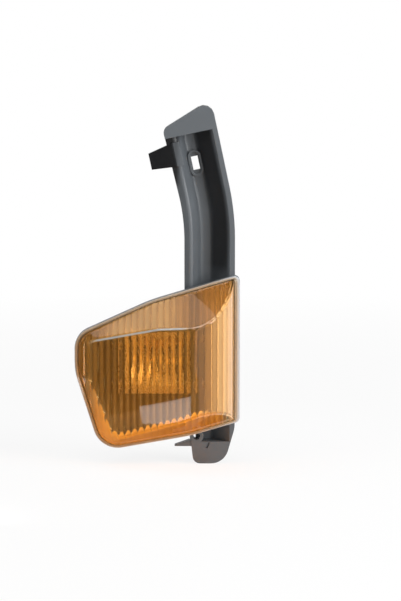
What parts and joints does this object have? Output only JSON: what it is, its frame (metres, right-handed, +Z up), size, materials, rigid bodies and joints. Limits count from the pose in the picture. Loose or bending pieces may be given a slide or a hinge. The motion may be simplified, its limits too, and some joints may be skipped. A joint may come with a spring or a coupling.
{
  "type": "vehicle indicator lamp",
  "caption": "Corner indicator lamp with a wrap-around fluted amber lens on a moulded black housing with a slotted upper arm and a drilled foot.",
  "frame": {"origin": "mouth of the fixing hole in the foot, on the bracket's front plane", "axes": "+Z up along the bracket, +X to the right as seen from the front, +Y back into the vehicle"},
  "size_m": [0.157, 0.1243, 0.3429],
  "materials": {
    "black_plastic": "fine grained moulded black",
    "amber_plastic": "clear amber, polished outside and fluted inside",
    "seal_rubber": "soft black",
    "holder_rubber": "soft red-brown silicone",
    "bright_metal": "vacuum-bright reflector",
    "zinc_steel": "zinc plated",
    "holder_plastic": "moulded dark grey",
    "plunger_plastic": "plain moulded",
    "contact_brass": "tinned stamping",
    "cap_metal": "nickel plated",
    "clear_glass": "clear blown glass",
    "black_glass": "glossy black insulator",
    "solder": "dull solder",
    "filament_wire": "dark coiled wire"
  },
  "bodies": {
    "lamp": {"housing": "black_plastic", "lens": "amber_plastic", "lens_seal": "seal_rubber", "reflector": "bright_metal", "reflector_screws": "zinc_steel", "breather_cap": "seal_rubber"},
    "bulb_holder": {"holder_body": "holder_plastic", "holder_seal": "holder_rubber", "holder_sleeve": "zinc_steel", "contact_plunger": "plunger_plastic", "contact_spring": "zinc_steel", "live_terminal": "contact_brass", "earth_terminal": "contact_brass", "bulb_cap": "cap_metal", "bulb_glass": "clear_glass", "bulb_stem": "clear_glass", "bulb_supports": "filament_wire", "bulb_filament": "filament_wire", "bulb_insulator": "black_glass", "bulb_contact": "solder"}
  },
  "joints": [
    {"name": "holder_twist", "type": "hinge", "parent": "lamp", "child": "bulb_holder", "pos_m": [-0.0375, 0.024, 0.0724], "axis": [0, -1, 0], "range_deg": [0, 45]}
  ]
}
